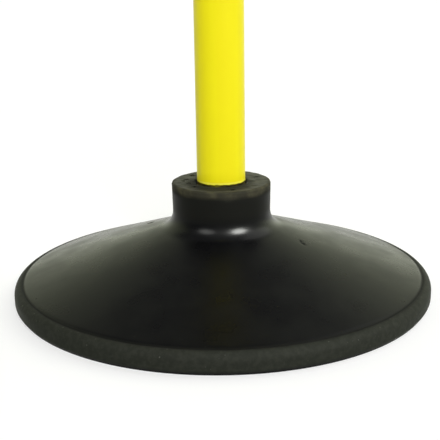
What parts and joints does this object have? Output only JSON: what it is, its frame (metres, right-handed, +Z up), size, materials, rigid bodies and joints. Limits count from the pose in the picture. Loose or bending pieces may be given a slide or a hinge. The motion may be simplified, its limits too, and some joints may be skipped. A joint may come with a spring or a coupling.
{
  "type": "slalom marker pole with rubber base",
  "caption": "Upright yellow plastic training pole standing loose in the collar socket of a round, sloping black rubber floor base; lifts out for storage.",
  "frame": {"origin": "on the floor, under the middle of the base", "axes": "+Z up along the pole; the part is round about it, so +X and +Y are free choices"},
  "size_m": [0.2174, 0.2174, 1.01],
  "materials": {
    "base_rubber": "black moulded rubber, satin on the sloping top, matt on the skirt and the collar's end face",
    "pole_plastic": "glossy lemon yellow extruded tube",
    "cap_plastic": "moulded yellow, half gloss",
    "plug_plastic": "moulded black, matt"
  },
  "bodies": {
    "base": {"rubber_base": "base_rubber"},
    "pole": {"pole_tube": "pole_plastic", "pole_top_cap": "cap_plastic", "pole_foot_plug": "plug_plastic"}
  },
  "joints": [
    {"name": "pole_lift", "type": "slide", "parent": "base", "child": "pole", "axis": [0, 0, 1], "range_m": [0, 0.05]}
  ]
}
